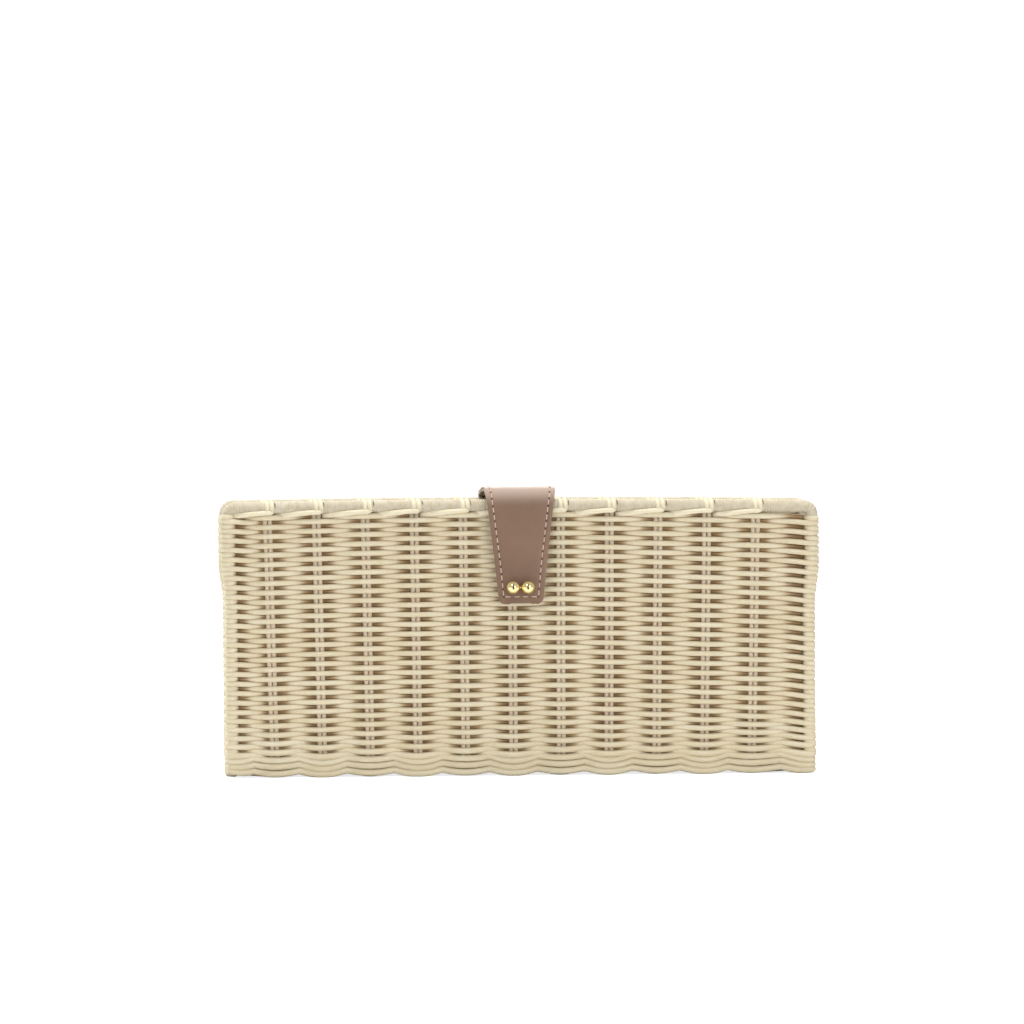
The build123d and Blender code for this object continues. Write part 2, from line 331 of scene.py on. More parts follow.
# the pale fold colour is painted sheen on the strap's bends
strapMaterial = makeLeather(
    "strapLeather", (0.204, 0.121, 0.079), (0.166, 0.096, 0.060), 0.42, 0.25, foldSheen=(0.34, 0.26, 0.21)
)
liningMaterial = makeLeather("liningLeather", (0.43, 0.33, 0.27), (0.36, 0.265, 0.215), 0.62, 0.35)


def makeThread():
    material, tree, shader, vector = newMaterial("paleThread")
    twist = noiseNode(tree, vector, (2400, 2400, 1400), 2.0)
    strand = remap(tree, twist, 0.35, 0.7)
    base = mixed(tree, strand, (0.56, 0.44, 0.35, 1), (0.42, 0.31, 0.24, 1))
    addBump(tree, shader, twist, 0.4)
    paint(tree, shader, base, 0.7)
    return material


def makeMetal(name, colour, dull, roughness):
    material, tree, shader, vector = newMaterial(name)
    wear = noiseNode(tree, vector, (420, 420, 420), 4.0, 0.6)
    base = mixed(tree, remap(tree, wear, 0.4, 0.75, 0.0, 0.6), (*colour, 1), (*dull, 1))
    paint(tree, shader, base, remap(tree, wear, 0.3, 0.8, roughness, roughness * 1.7))
    shader.inputs["Metallic"].default_value = 1.0
    return material


# a near-black material for painted shade in holes and slits
def makeShadeMaterial(name, dark, pale):
    material, tree, shader, vector = newMaterial(name)
    speck = noiseNode(tree, vector, (1500, 1500, 1500), 1.0)
    paint(tree, shader, mixed(tree, speck, (*dark, 1), (*pale, 1)), 0.8)
    return material


threadMaterial = makeThread()
# painted shade: dark discs where the stitch holes' shadow would be
holeShadeMaterial = makeShadeMaterial("stitchHoleShade", (0.045, 0.025, 0.015), (0.09, 0.052, 0.035))
# painted shade for the slits in the cane binding
slitShadeMaterial = makeShadeMaterial("caneSlitShade", (0.075, 0.05, 0.028), (0.15, 0.105, 0.06))
goldMaterial = makeMetal("polishedGold", (0.95, 0.80, 0.42), (0.88, 0.70, 0.32), 0.11)
snapMaterial = makeMetal("snapSteel", (0.78, 0.74, 0.66), (0.62, 0.58, 0.50), 0.28)
print("materials made")


# helpers for finished pieces

def activate(piece):
    bpy.ops.object.select_all(action="DESELECT")
    piece.select_set(True)
    bpy.context.view_layer.objects.active = piece


def cover(piece, material):
    piece.data.materials.clear()
    piece.data.materials.append(material)


def finishPiece(piece, material, body, slotName, *nodes):
    cover(piece, material)
    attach(piece, body)
    if nodes:
        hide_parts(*nodes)


def storeValues(piece, name, values):
    piece.data.attributes.new(name, "FLOAT", "POINT").data.foreach_set("value", values)


def roundEdges(piece, width, segments, degrees):
    bevel = piece.modifiers.new("rounded", "BEVEL")
    bevel.width = width
    bevel.segments = segments
    bevel.limit_method = "ANGLE"
    bevel.angle_limit = math.radians(degrees)
    activate(piece)
    bpy.ops.object.modifier_apply(modifier="rounded")


def join(piece, *others):
    activate(piece)
    for other in others:
        other.select_set(True)
    bpy.ops.object.join()


def mode(kind, selection=None):
    bpy.ops.object.mode_set(mode=kind)
    if selection:
        bpy.ops.mesh.select_all(action=selection)


def place(name, data):
    thing = bpy.data.objects.new(name, data)
    bpy.context.scene.collection.objects.link(thing)
    return thing


def strands(name, paths, thickness, sides=8, radii=None, closed=False):
    # rods, strips and threads: one round strand along each path, joined into one mesh
    curve = bpy.data.curves.new(name, "CURVE")
    curve.dimensions = "3D"
    curve.bevel_depth = thickness / 2
    curve.bevel_resolution = (sides - 4) // 2
    curve.use_fill_caps = not closed
    for index, path in enumerate(paths):
        spline = curve.splines.new("POLY")
        spline.points.add(len(path) - 1)
        spline.points.foreach_set("co", [c for p in path for c in (*p, 1.0)])
        if radii:
            spline.points.foreach_set("radius", radii[index])
        spline.use_cyclic_u = closed
    activate(place(name, curve))
    bpy.ops.object.convert(target="MESH")
    piece = bpy.context.object
    piece.name = name
    mode("EDIT", "SELECT")
    bpy.ops.mesh.remove_doubles(threshold=1e-7)
    bpy.ops.mesh.normals_make_consistent(inside=False)
    mode("OBJECT")
    bpy.ops.object.shade_smooth()
    return piece


def makeWall(origin, across, outward, seed, bend=0.0, up=(0, 0, 1)):
    return {
        "origin": Vector(origin), "across": Vector(across), "up": Vector(up), "out": Vector(outward),
        "seed": seed, "bend": bend,
    }


def onWall(wall, u, v, d):
    return wall["origin"] + wall["across"] * u + wall["up"] * v + wall["out"] * d


walls = {
    "front": makeWall((0, -panelY, 0), (1, 0, 0), (0, -1, 0), 3.1, 1.0),
    "back": makeWall((0, panelY, 0), (-1, 0, 0), (0, 1, 0), 17.7, 0.7),
    "left": makeWall((-postX, 0, 0), (0, -1, 0), (-1, 0, 0), 29.3),
    "right": makeWall((postX, 0, 0), (0, 1, 0), (1, 0, 0), 41.9),
    "base": makeWall((0, 0, baseMiddle), (1, 0, 0), (0, 0, -1), 53.3, up=(0, 1, 0)),
}


def smooth(value):
    value = min(max(value, 0.0), 1.0)
    return value * value * (3 - 2 * value)


def fanned(x, v):
    return x * (weave["fan"] + (1 - weave["fan"]) * v / weaveTop)


def stakesOn(wall, v):
    sign = wall["across"].x
    return sorted(sign * fanned(x, v) for x in stakeXs)


def cornerAt(v):
    # a weaver turns round the thin corner post low down and round the thicker hoop leg above
    blend = smooth((v - wraps["legStart"]) / wraps["legBlend"])
    centre = postX + (legX - postX) * blend
    outside = wraps["radius"] + (wraps["legRadius"] - wraps["radius"]) * blend
    outside -= wraps["footTuck"] * math.exp(-v / wraps["footFade"])
    return centre, outside


def archDrop(along):
    share = along / weave["archSpan"]
    return weave["arch"] * share * share + weave["tilt"] * share


def wander(wall, u, v, row):
    slow = noise.noise(Vector((u * 11, v * 16, wall["seed"]))) * weave["waviness"]
    quick = noise.noise(Vector((u * 45, row * 3.7, wall["seed"] + 7))) * weave["jitter"]
    settle = smooth((v - weave["archStart"]) / weave["archBand"])
    settle *= 1 - 0.5 * smooth((v - weave["archCalm"]) / weave["archBand"])
    return slow + quick - archDrop(u) * settle * wall["bend"]


def sagAt(v, share):
    # the lowest rows hang in a bow under each stake
    return weave["bow"] * math.exp(-v / weave["bowFade"]) * (1 - abs(math.cos(math.pi * share)))


def cornerLiftAt(u, v):
    nearCorner = smooth((abs(u) - postX + wraps["liftInset"]) / wraps["liftBand"])
    return wraps["lift"] * math.exp(-v / wraps["liftFade"]) * nearCorner


def diveAt(u, centre):
    side = math.copysign(1, u)
    return -side * weave["dive"] * math.exp(-(((abs(u) - centre) / weave["diveBand"]) ** 2))


def swing(share):
    # a weaver leaves a stake quickly and runs nearly flat between two stakes
    turn = math.cos(math.pi * share)
    return (1 - math.copysign(abs(turn) ** weave["stiffness"], turn)) / 2


def walk(supports, offsets, late=False):
    # every place of a weaver: gap, share of the gap, distance along the wall and depth in it
    steps = weave["stepsPerGap"]
    last = len(supports) - 2
    for k in range(last + 1):
        for step in range(steps + (k == last)):
            share = cross = step / steps
            if late and k == 0:
                cross = share ** weave["lateCrossing"]
            if late and k == last:
                cross = 1 - (1 - share) ** weave["lateCrossing"]
            u = supports[k] + (supports[k + 1] - supports[k]) * share
            yield k, share, u, offsets[k] + (offsets[k + 1] - offsets[k]) * swing(cross)


def weavePath(wall, supports, offsets, v, row, corners=True, heights=None, crossing=0.0):
    # follows a weaver in front of one support and behind the next
    # heights gives its level at each support and crossing its level halfway between two
    points = []
    centre = cornerAt(v)[0]
    lowest = twining["floorShare"] * twining["thickness"] / 2 if heights else 0
    for k, share, u, d in walk(supports, offsets, corners):
        height = v + sagAt(v, share)
        if heights:
            near = heights[k] if share < 0.5 else heights[k + 1]
            height = near + (crossing - near) * (1 - abs(math.cos(math.pi * share)))
        height += wander(wall, u, v, row)
        if corners:
            height += cornerLiftAt(u, v) + diveAt(u, centre)
        points.append(onWall(wall, u, max(height, lowest), d))
    return points


def alternate(supports, phase, outer, inner):
    # depth of a weaver at each support: in front of one and behind the next
    depths = [outer] + [inner] * (len(supports) - 2) + [outer]
    return [depth if (k + phase) % 2 == 0 else -depth for k, depth in enumerate(depths)]


def roundPost(wall, points, centre, radius, end):
    # carries a weaver on from its last or first point round the outside of a post
    side = -1 if end == "start" else 1
    base = points[0] if end == "start" else points[-1]
    height = base.z
    arc = []
    for step in range(1, wraps["steps"] + 1):
        angle = math.pi / 2 - math.pi * step / wraps["steps"]
        u = side * (centre + radius * math.cos(angle))
        arc.append(onWall(wall, u, height + wraps["stepRise"] * step, radius * math.sin(angle)))
    if end == "start":
        return arc[::-1] + points
    return points + arc


def roundPosts(wall, path, offsets, centre, radius):
    for end, offset in (("start", offsets[0]), ("end", offsets[-1])):
        if offset > 0:
            path = roundPost(wall, path, centre, radius, end)
    return path


def rowRadii(path, v, centre):
    # rows are stouter near the floor and lie pressed together round the posts
    low = 1 + weave["stout"] * math.exp(-(v - weave["lowRow"]) / weave["stoutFade"])
    start = centre - weave["pressedInset"]
    return [low * (1 + weave["pressed"] * smooth((abs(p.x) - start) / weave["pressedBand"])) for p in path]


def longWallRows(name):
    wall = walls[name]
    rows, rings, radii = [], [], []
    for row in range(weave["rows"]):
        v = rowHeight(row)
        centre, outside = cornerAt(v)
        turn = outside - rowRadius
        supports = [-centre] + stakesOn(wall, v) + [centre]
        offsets = alternate(supports, row, turn, reach)
        path = roundPosts(wall, weavePath(wall, supports, offsets, v, row), offsets, centre, turn)
        if offsets[0] < 0:
            for side in (-1, 1):
                lift = diveAt(side * centre, centre) + wander(wall, side * centre, v, row)
                ring = []
                for step in range(wraps["ringSteps"]):
                    angle = 2 * math.pi * step / wraps["ringSteps"]
                    u = side * (centre + turn * math.cos(angle))
                    ring.append(onWall(wall, u, v + lift, turn * math.sin(angle)))
                rings.append(ring)
        rows.append(path)
        radii.append(rowRadii(path, v, centre))
    return rows, rings, radii


def twinedPaths(wall, supports, endOffset, corners):
    # pairing: two weavers cross between the stakes, so every stake has a strand in front of it
    paths = []
    for row in range(twining["rows"]):
        v = twining["low"] + row * twining["pitch"]
        crossing = twining["crossing"] + row * twining["pitch"]
        ease = 1 - twining["ease"] ** (row + 0.5)
        for strand in (0, 1):
            offsets = alternate(supports, strand, endOffset, reach - twining["tuck"])
            rise, drop = twining["rise"] * ease, twining["drop"] * ease
            heights = [v - drop if k % 2 == 0 else v + rise for k in range(len(supports))]
            path = weavePath(wall, supports, offsets, v, row * 2 + strand, corners, heights, crossing)
            if corners:
                path = roundPosts(wall, path, offsets, abs(supports[0]), endOffset)
            paths.append(path)
    return paths


def markRecessShade(piece, wall):
    # marks the surfaces that face out of a wall but lie deep in it, where the rows get painted shade
    values = []
    for vertex in piece.data.vertices:
        facing = vertex.normal.dot(wall["out"])
        depth = (vertex.co - wall["origin"]).dot(wall["out"]) * math.copysign(1, facing)
        deep = smooth((weave["recessDepth"] - depth) / weave["recessBand"])
        values.append(deep * smooth(abs(facing) / weave["recessFacing"]))
    storeValues(piece, "recessShade", values)


for name in ("front", "back"):
    rows, rings, radii = longWallRows(name)
    piece = strands(f"{name}Rows", rows, weave["rowThickness"], radii=radii)
    markRecessShade(piece, walls[name])
    finishPiece(piece, rowMaterial, "basket", "woven_rattan", f"{name}_weave")
    piece = strands(f"{name}PostWraps", rings, wraps["ringThickness"] * weave["rowThickness"], closed=True)
    finishPiece(piece, wrapMaterial, "basket", "woven_rattan")
    supports = [-postX] + stakesOn(walls[name], 0) + [postX]
    paths = twinedPaths(walls[name], supports, wraps["radius"] - twining["thickness"] / 2, True)
    piece = strands(f"{name}Twining", paths, twining["thickness"])
    finishPiece(piece, baseMaterial, "basket", "woven_rattan")
print("long walls woven")

# the short sides are woven between the corner posts, their ends tucked behind the wraps
sides = {"endInset": 2.2 * mm, "endDepth": 0.6 * mm}
for name in ("left", "right"):
    wall = walls[name]
    edge = panelY - sides["endInset"]
    supports = [-edge] + sorted(sideStakeYs) + [edge]
    rows = []
    for row in range(weave["rows"]):
        v = rowHeight(row)
        if v > rimZ - rimRadius:
            break
        sign = 1 if row % 2 == 0 else -1
        offsets = [-sides["endDepth"], sign * reach, -sign * reach, -sides["endDepth"]]
        rows.append(weavePath(wall, supports, offsets, v, row, corners=False))
    piece = strands(f"{name}SideRows", rows, weave["rowThickness"])
    markRecessShade(piece, wall)
    finishPiece(piece, sideRowMaterial, "basket", "woven_rattan", f"{name}_side_weave")
    paths = twinedPaths(wall, supports, sides["endDepth"], False)
    piece = strands(f"{name}SideTwining", paths, twining["thickness"])
    finishPiece(piece, wrapMaterial, "basket", "woven_rattan")
print("short walls woven")


floorRows = {
    "pitch": 2.36 * mm,
    "overhang": 1.6 * mm,  # the outer rows lie under the long walls
    "endGap": 0.5 * mm,
    "floorShare": 1.03,  # least height of a row's middle, in its own radii
}


def baseRows():
    wall = walls["base"]
    rows = []
    pitch = floorRows["pitch"]
    depth = baseMiddle - floorRows["floorShare"] * rowRadius
    count = int(2 * (innerDepth + floorRows["overhang"] - rowRadius) / pitch) + 1
    for row in range(count):
        y = (row - (count - 1) / 2) * pitch
        ends = postX - floorRows["endGap"]
        supports = [-ends] + [fanned(x, 0) for x in stakeXs] + [ends]
        offsets = alternate(supports, row, 0, depth)
        path = []
        for k, share, u, d in walk(supports, offsets):
            stray = noise.noise(Vector((u * 40, row * 3.7, wall["seed"]))) * weave["jitter"]
            path.append(onWall(wall, u, y + stray, d))
        rows.append(path)
    return rows


piece = strands("baseRows", baseRows(), weave["rowThickness"])
finishPiece(piece, baseMaterial, "basket", "woven_rattan", "base_weave")


# stakes: each pair climbs both long walls, goes over the hoop and is laid down as the border
border = {
    "run": 21 * mm,
    "shift": 1.2 * mm,  # the ends come over the hoop a little to the right
    "hookAngle": 48,  # degrees below the front of the hoop
    "overHoop": 2.5 * mm,
    "fall": 2.1 * mm,
    "stack": 0.5 * mm,
    "proud": 1.0 * mm,
    "hookGap": 1.3 * mm,  # from the laid end to the hook
    "endDrop": 0.55 * mm,
    "endTuck": 0.6 * mm,
    "curl": 1.4,
    "steps": 10,
    "insideAngle": 225,  # where the rod leaves the back of the hoop
    "tail": 3.5 * mm,  # below the woven panel's top
    "foot": 12 * mm,
    "cornerRadius": 4 * mm,
    "hoopSettle": 0.42,  # share of the rows' arch and tilt that the hoop takes up
}


def hoopDrop(x):
    # the bent hoop settles a little towards its ends, most on the right
    return border["hoopSettle"] * archDrop(x)


def borderEnd(wall, u, strand):
    # from the tucked end, rightwards under the hoop, then up and over it and down inside
    points = []
    barZ = hoopZ - hoopDrop(wall["across"].x * u)
    around = border["overHoop"]
    hook = math.radians(border["hookAngle"])
    hookU = u + border["shift"] + strand * weave["pairSpacing"] / 2
    hookV, hookD = barZ - around * math.sin(hook), around * math.cos(hook) + 0.5 * border["proud"]
    for step in range(border["steps"]):
        share = step / (border["steps"] - 1)
        along = u - border["run"] + (hookU - border["hookGap"] - u + border["run"]) * share
        height = hookV - border["endDrop"] - border["fall"] * (1 - share) ** border["curl"]
        height += strand * border["stack"] * (1 - share)
        depth = (hookD + 0.6 * border["proud"]) * smooth(share * 1.9) - border["endTuck"] * (1 - share)
        points.append(onWall(wall, along, height, depth))
    points.append(onWall(wall, hookU - 0.45 * mm, hookV - 0.35 * mm, hookD + 0.3 * mm))
    for step in range(9):
        angle = -hook + (math.radians(border["insideAngle"]) + hook) * step / 8
        overU = hookU - border["shift"] * smooth(step / 8)
        points.append(onWall(wall, overU, barZ + around * math.sin(angle), around * math.cos(angle)))
    inside = u + strand * weave["pairSpacing"] / 2
    points.append(onWall(wall, inside, weaveTop - border["tail"], -0.2 * mm))
    return points


def bend(points, corner, fromDirection, toDirection):
    # rounds a right-angled corner of a path
    radius = border["cornerRadius"]
    centre = corner - fromDirection * radius + toDirection * radius
    for step in range(6):
        angle = math.pi / 2 * step / 5
        turned = fromDirection * radius * math.sin(angle)
        points.append(centre - toDirection * radius * math.cos(angle) + turned)


down, upward, backward, rightward = (Vector(way) for way in ((0, 0, -1), (0, 0, 1), (0, 1, 0), (1, 0, 0)))


def stakePath(x, strand):
    offset = strand * weave["pairSpacing"] / 2
    lowX = fanned(x, 0) + offset
    points = borderEnd(walls["front"], x, strand)
    climb = [weaveTop - border["tail"] - (weaveTop - border["foot"]) * step / 7 for step in range(1, 7)]
    points += [onWall(walls["front"], fanned(x, v) + offset, v, 0) for v in climb]
    bend(points, Vector((lowX, -panelY, baseMiddle)), down, backward)
    bend(points, Vector((lowX, panelY, baseMiddle)), backward, upward)
    points += [onWall(walls["back"], -(fanned(x, v) + offset), v, 0) for v in reversed(climb)]
    return points + borderEnd(walls["back"], -x, -strand)[::-1]


for number, x in enumerate(stakeXs, start=1):
    paths = [stakePath(x, -1), stakePath(x, 1)]
    radii = [[1 + 0.12 * smooth((p.z - weaveTop) / (1 * mm)) for p in path] for path in paths]
    piece = strands(f"crossStakes_{number:02d}", paths, weave["stakeThickness"], radii=radii)
    finishPiece(piece, stakeMaterial, "basket", "stake_rattan", f"cross_stakes_{number:02d}")

for number, y in enumerate(sideStakeYs, start=1):
    paths = []
    for strand in (-1, 1):
        rodY = y + strand * weave["pairSpacing"] / 2
        liftedZ = baseMiddle + weave["stakeThickness"]
        points = [Vector((-postX, rodY, rimZ))]
        bend(points, Vector((-postX, rodY, liftedZ)), down, rightward)
        bend(points, Vector((postX, rodY, liftedZ)), rightward, upward)
        points.append(Vector((postX, rodY, rimZ)))
        paths.append(points)
    piece = strands(f"lengthStakes_{number:02d}", paths, weave["stakeThickness"])
    finishPiece(piece, stakeMaterial, "basket", "stake_rattan", f"length_stakes_{number:02d}")
print("stakes and border laid")


# bindings: cane strips wound side by side round the hoops and side rims
cane = {"strip": 1.34 * mm, "ridge": 0.3 * mm, "sides": 16}
slit = {
    "thickness": 0.42 * mm,
    "gap": (1.5, 2.0),  # mm to the right of a pair
    "start": (-8, 15),  # degrees above the front of the hoop
    "end": (50, 80),
    "slant": 0.5 * mm,
    "profile": [0.4, 0.9, 1, 1, 1, 0.8, 0.3],
}
postFoot = {
    "heights": (2.2 * mm, 2.6 * mm, 3.4 * mm, 60 * mm),
    "profile": [0.6, 0.85, 1, 1, 1],
}


def boundRod(line, radius):
    # resamples a line and gives it one ridge for each turn of cane
    lengths = [0.0]
    for a, b in zip(line, line[1:]):
        lengths.append(lengths[-1] + (b - a).length)
    count = int(lengths[-1] / cane["strip"])
    strip = lengths[-1] / count
    shares = (0.04, 0.22, 0.5, 0.78, 0.96)
    stations = [(turn + share) * strip for turn in range(count) for share in shares]
    points, radii = [], []
    segment = 0
    swell = [1 + random.uniform(-0.014, 0.014) for turn in range(count + 1)]
    for along in sorted(stations):
        while lengths[segment + 1] < along and segment < len(line) - 2:
            segment += 1
        part = (along - lengths[segment]) / (lengths[segment + 1] - lengths[segment])
        points.append(line[segment].lerp(line[segment + 1], part))
        across = abs(along / strip % 1 - 0.5) * 2
        drop = cane["ridge"] * across ** 2.5
        radii.append(swell[int(along / strip)] - drop / radius)
    return points, radii


def hoopLine(y):
    points = [Vector((-legX, y, weaveTop - 1.5 * mm))]
    for side in (-1, 1):
        for step in range(9):
            angle = math.pi / 2 * (step if side == -1 else 8 - step) / 8
            out = legX - hoopBend + hoopBend * math.cos(angle)
            points.append(Vector((side * out, y, weaveTop + hoopBend * math.sin(angle))))
    points.append(Vector((legX, y, weaveTop - 1.5 * mm)))
    bar = []
    for a, b in zip(points, points[1:]):
        pieces = 24 if abs(b.x - a.x) > legX else 1
        bar += [a.lerp(b, step / pieces) for step in range(pieces)]
    bar.append(points[-1])
    return [p - Vector((0, 0, hoopDrop(p.x))) for p in bar]


for name, y in (("front", -panelY), ("back", panelY)):
    line = hoopLine(y)
    points, radii = boundRod(line, bandRadius)
    piece = strands(f"{name}HoopBinding", [points], 2 * bandRadius, cane["sides"], [radii])
    finishPiece(piece, caneMaterial, "basket", "cane_binding", f"{name}_hoop_binding")
    # just right of most pairs the cane parts; the short slit is drawn as a dark strand of painted shade
    wall = walls[name]
    slits = []
    last = len(slit["profile"]) - 1
    for x in stakeXs:
        u = wall["across"].x * x + weave["pairSpacing"] / 2 + stakeRadius + random.uniform(*slit["gap"]) * mm
        start, end = random.uniform(*slit["start"]), random.uniform(*slit["end"])
        barZ = hoopZ - hoopDrop(x)
        path = []
        for step in range(last + 1):
            angle = math.radians(start + (end - start) * step / last)
            along = u - slit["slant"] * step / last
            height = barZ + bandRadius * math.sin(angle)
            path.append(onWall(wall, along, height, bandRadius * math.cos(angle)))
        slits.append(path)
    piece = strands(f"{name}HoopSlits", slits, slit["thickness"], 6, [slit["profile"]] * len(slits))
    finishPiece(piece, slitShadeMaterial, "basket", "cane_binding")

for name, x in (("left", -postX), ("right", postX)):
    line = [Vector((x, -innerDepth, rimZ)), Vector((x, innerDepth, rimZ))]
    points, radii = boundRod(line, rimRadius)
    piece = strands(f"{name}SideRim", [points], 2 * rimRadius, cane["sides"], [radii])
    finishPiece(piece, rimMaterial, "basket", "cane_binding", f"{name}_side_rim")

for node in ("front_left_post", "front_right_post", "back_left_post", "back_right_post"):
    centre = middle(node)
    heights = (*postFoot["heights"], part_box(node)[1].z)
    path = [Vector((centre.x, centre.y, z)) for z in heights]
    end, side = node.split("_")[:2]
    name = f"{end}{side.capitalize()}Post"
    piece = strands(name, [path], 2 * postRadius, 12, [postFoot["profile"]])
    finishPiece(piece, stakeMaterial, "basket", "stake_rattan", node)

for node in ("front_hoop", "back_hoop"):
    cover(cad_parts[node], stakeMaterial)
print("bindings wound")


# leather strap: one length of doubled leather from its tip, over the mouth, to its tail
strapLow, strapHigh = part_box("strap_outer_leather")
tailLow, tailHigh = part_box("tail_outer_leather")
strap = {
    "layer": size("tail_outer_leather").y,
    "bend": 8 * mm,
    "dome": 0.5 * mm,
    "tipCorner": 2.6 * mm,
    "tailCorner": 4 * mm,
    # arc length from the tip, and the strap's full width there
    "widths": [(0, 21.3), (21, 25.4), (43, 30.8), (61, 34.6), (112, 35.2), (150, 35.6), (180, 35.6)],
    "slope": 2.4 * mm,  # the crest runs down towards the back
    "inset": 2.45 * mm,  # stitch line from the edge
    "tipInset": 3.2 * mm,
    "stitchPitch": 3.65 * mm,
    "stitchLength": 2.35 * mm,
    "thread": 0.58 * mm,
    "press": 0.16 * mm,  # depth of the groove along the stitches
    "pressBand": 0.5 * mm,
    "roll": 0.22 * mm,  # how far the edge rolls down
    "rollBand": 0.45 * mm,
    "hole": 1.05 * mm,
    "stations": 110,
    "sheenDrop": 9.5 * mm,  # the painted sheen reaches this far below the crest
    "sheenBand": 9 * mm,
    "sheenInset": 6 * mm,
    "sheenSpan": 14 * mm,
    "foldReach": 5.5 * mm,  # reach of the leather's bend on each side of the fold line; the strap is built closed here and not bent
}
frontFace, backFace, crest = strapLow.y, tailHigh.y, strapHigh.z
backCrest = crest - strap["slope"]
runs = [
    crest - strap["bend"] - strapLow.z,
    strap["bend"] * math.pi / 2,
    backFace - frontFace - 2 * strap["bend"],
    strap["bend"] * math.pi / 2,
    backCrest - strap["bend"] - tailLow.z,
]
strapLength = sum(runs)


def strapLine(s):
    # point on the outer face and its outward normal, in the YZ plane
    r = strap["bend"]
    if s < runs[0]:
        return Vector((0, frontFace, strapLow.z + s)), Vector((0, -1, 0))
    s -= runs[0]
    if s < runs[1]:
        angle = s / r
        normal = Vector((0, -math.cos(angle), math.sin(angle)))
        return Vector((0, frontFace + r, crest - r)) + normal * r, normal
    s -= runs[1]
    if s < runs[2]:
        rise = strap["dome"] * math.sin(math.pi * s / runs[2]) - strap["slope"] * smooth(s / runs[2])
        return Vector((0, frontFace + r + s, crest + rise)), Vector((0, 0, 1))
    s -= runs[2]
    if s < runs[3]:
        angle = math.pi / 2 - s / r
        normal = Vector((0, math.cos(angle), math.sin(angle)))
        return Vector((0, backFace - r, backCrest - r)) + normal * r, normal
    s -= runs[3]
    return Vector((0, backFace, backCrest - r - s)), Vector((0, 1, 0))


def halfWidth(s):
    stations = [(a * mm, b * mm / 2) for a, b in strap["widths"]]
    k = 0
    while k < len(stations) - 2 and stations[k + 1][0] < s:
        k += 1
    before, after = stations[max(k - 1, 0)], stations[min(k + 2, len(stations) - 1)]
    (s0, w0), (s1, w1) = stations[k], stations[k + 1]
    t = (s - s0) / (s1 - s0)
    slope0 = (w1 - before[1]) / (s1 - before[0]) * (s1 - s0)
    slope1 = (after[1] - w0) / (after[0] - s0) * (s1 - s0)
    return (
        (2 * t ** 3 - 3 * t ** 2 + 1) * w0 + (t ** 3 - 2 * t ** 2 + t) * slope0
        + (3 * t ** 2 - 2 * t ** 3) * w1 + (t ** 3 - t ** 2) * slope1
    )


def roundedWidth(s):
    # half width with the corners of the tip and the tail rounded off
    width = halfWidth(s)
    for distance, corner in ((s, strap["tipCorner"]), (strapLength - s, strap["tailCorner"])):
        if distance < corner:
            width -= corner - math.sqrt(max(corner ** 2 - (corner - distance) ** 2, 0))
    return width


def strapPoint(s, x, depth):
    point, normal = strapLine(s)
    return point - normal * depth + Vector((x, 0, 0))


def strapStations():
    quarter = [math.pi / 2 * k / 6 for k in range(7)]
    start, end = strap["tipCorner"], strapLength - strap["tailCorner"]
    count = strap["stations"]
    return (
        [start * (1 - math.cos(angle)) for angle in quarter]
        + [start + (end - start) * k / count for k in range(1, count)]
        + [end + strap["tailCorner"] * math.sin(angle) for angle in quarter]
    )


edgeSteps = [0, 0.35 * mm, 1.2 * mm, 2.1 * mm, strap["inset"], 3.3 * mm, 4.6 * mm]


def groove(distance):
    # the edge rolls down and the stitch line is pressed in
    press = strap["press"] * math.exp(-((distance - strap["inset"]) / strap["pressBand"]) ** 2)
    roll = strap["roll"] * math.exp(-(distance / strap["rollBand"]) ** 2)
    return press + roll


def makeStrapSheet(name, depth, thickness, facing):
    stations = strapStations()
    inner = 7
    columns = 2 * len(edgeSteps) + inner
    bpy.ops.mesh.primitive_grid_add(x_subdivisions=columns - 1, y_subdivisions=len(stations) - 1, size=1)
    sheet = bpy.context.object
    sheet.name = name
    for j, s in enumerate(stations):
        half = roundedWidth(s)
        left = [-half + step for step in edgeSteps]
        span = half - edgeSteps[-1]
        centre = [-span + 2 * span * (k + 1) / (inner + 1) for k in range(inner)]
        for i, x in enumerate(left + centre + [-value for value in reversed(left)]):
            edge = half - abs(x)
            side = groove(edge) if facing > 0 else -groove(edge)
            sheet.data.vertices[j * columns + i].co = strapPoint(s, x, depth + side)
    solid = sheet.modifiers.new("thickness", "SOLIDIFY")
    solid.thickness = thickness
    solid.offset = 0
    activate(sheet)
    bpy.ops.object.modifier_apply(modifier="thickness")
    roundEdges(sheet, 0.28 * mm, 3, 50)
    mode("EDIT", "SELECT")
    bpy.ops.mesh.normals_make_consistent(inside=False)
    mode("OBJECT")
    bpy.ops.object.shade_smooth_by_angle(angle=math.radians(40))
    return sheet


def blendStrap(piece, material, slotName, *nodes):
    cover(piece, material)
    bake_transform(piece)
    if nodes:
        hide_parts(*nodes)


layer = strap["layer"]
sheet = makeStrapSheet("strapOuter", layer / 2, layer * 0.98, 1)
# painted sheen: paler leather over the two bends at the crest, less along the flat top between them
folds = []
for vertex in sheet.data.vertices:
    rise = smooth((vertex.co.z - crest + strap["sheenDrop"]) / strap["sheenBand"])
    inward = min(vertex.co.y - frontFace, backFace - vertex.co.y)
    folds.append(rise * (1 - 0.8 * smooth((inward - strap["sheenInset"]) / strap["sheenSpan"])))
storeValues(sheet, "fold", folds)
blendStrap(sheet, strapMaterial, "strap_leather", "strap_outer_leather", "tail_outer_leather")
sheet = makeStrapSheet("strapLining", layer * 1.5, layer * 0.98, -1)
blendStrap(sheet, liningMaterial, "lining_leather", "strap_lining_leather", "tail_lining_leather")


